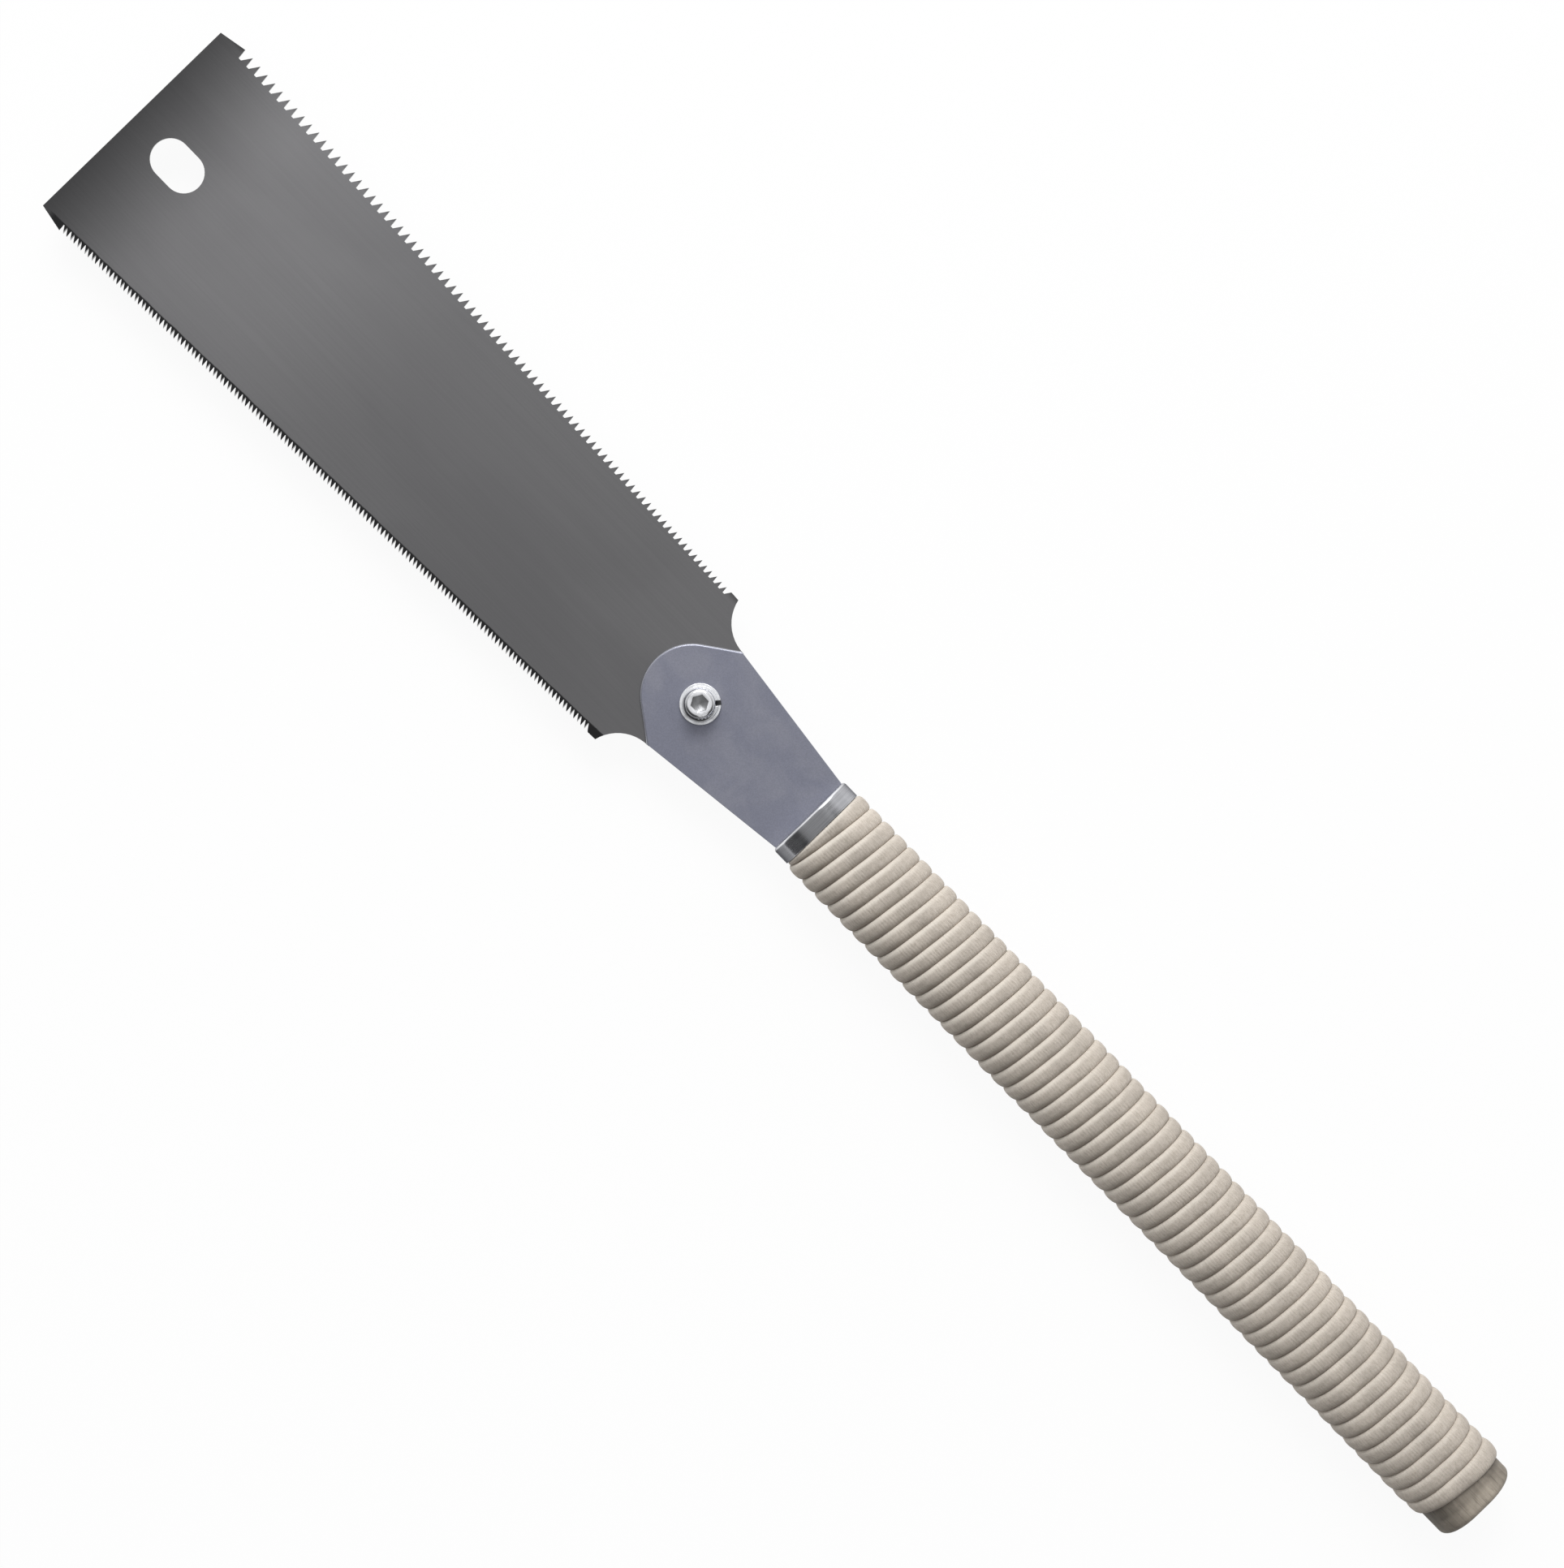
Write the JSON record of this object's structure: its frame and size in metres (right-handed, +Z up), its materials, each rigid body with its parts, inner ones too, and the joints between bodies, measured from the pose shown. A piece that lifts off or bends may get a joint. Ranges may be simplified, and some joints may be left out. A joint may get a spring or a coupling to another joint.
{
  "type": "double-edge pull saw",
  "caption": "Pull saw with a rip edge and a crosscut edge, its blade clamped by a hex-socket screw in a steel head on an oval cord-wound wooden handle.",
  "frame": {"origin": "middle of the saw's box on the surface that it lies on", "axes": "+X from the blade's toe to the handle's butt, +Y to the rip edge, +Z up out of the screw's head"},
  "size_m": [0.6252, 0.084, 0.0274],
  "materials": {
    "blade_steel": "satin",
    "head_steel": "satin",
    "bright_zinc": "gloss",
    "ferrule_steel": "polished",
    "core_wood": "matte",
    "cord": "matte"
  },
  "bodies": {
    "handle": {"handle_core": "core_wood", "cord_wrap": "cord", "ferrule": "ferrule_steel", "front_cheek": "head_steel", "rear_cheek": "head_steel", "tang_spacer": "head_steel", "tang_pins": "head_steel", "clamp_nut": "bright_zinc"},
    "blade": {"blade": "blade_steel"},
    "washers": {"flat_washer": "bright_zinc", "spring_washer": "bright_zinc"},
    "screw": {"clamp_screw": "bright_zinc"}
  },
  "joints": [
    {"name": "blade_swivel", "type": "hinge", "parent": "handle", "child": "blade", "pos_m": [-0.04815, 0, 0.01372], "axis": [0, 0, 1], "range_deg": [-45, 45]},
    {"name": "screw_lift", "type": "slide", "parent": "handle", "child": "washers", "axis": [0, 0, 1], "range_m": [0, 0.002]},
    {"name": "screw_turn", "type": "hinge", "parent": "washers", "child": "screw", "pos_m": [-0.04815, 0, 0.01372], "axis": [0, 0, 1], "range_deg": [0, 720]}
  ],
  "couplings": [
    {"joint": "screw_turn", "follows": "screw_lift", "rad_per_m": 6283.2}
  ]
}
